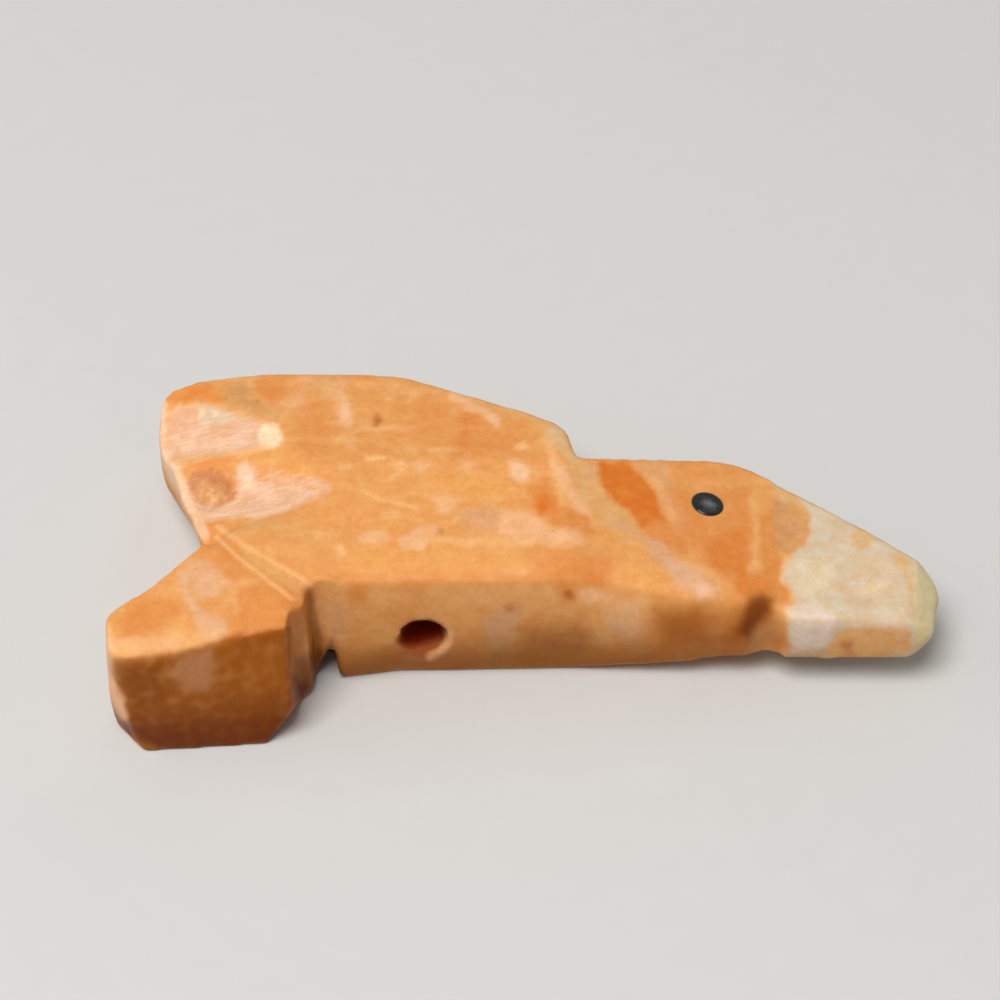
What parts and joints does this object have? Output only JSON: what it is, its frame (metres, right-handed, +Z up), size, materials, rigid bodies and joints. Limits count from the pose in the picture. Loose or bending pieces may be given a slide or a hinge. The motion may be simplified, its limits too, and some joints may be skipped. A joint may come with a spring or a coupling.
{
  "type": "zuni fetish",
  "caption": "Small flat bird carved in banded stone, with a blunt beak, raised grooved wing, flared tail, inlaid round eyes and a stringing hole through the body.",
  "frame": {"origin": "middle of the bird's length and height of its side view, on the surface under its lower flat side", "axes": "+X from tail to beak, +Y from belly to back, +Z up through the thickness of the stone"},
  "size_m": [0.0254, 0.013, 0.0043],
  "materials": {
    "stone": "polished, banded orange, peach and cream",
    "jet": "polished black"
  },
  "bodies": {
    "root": {"stone_bird": "stone", "eye_upper": "jet", "eye_lower": "jet"}
  },
  "joints": []
}
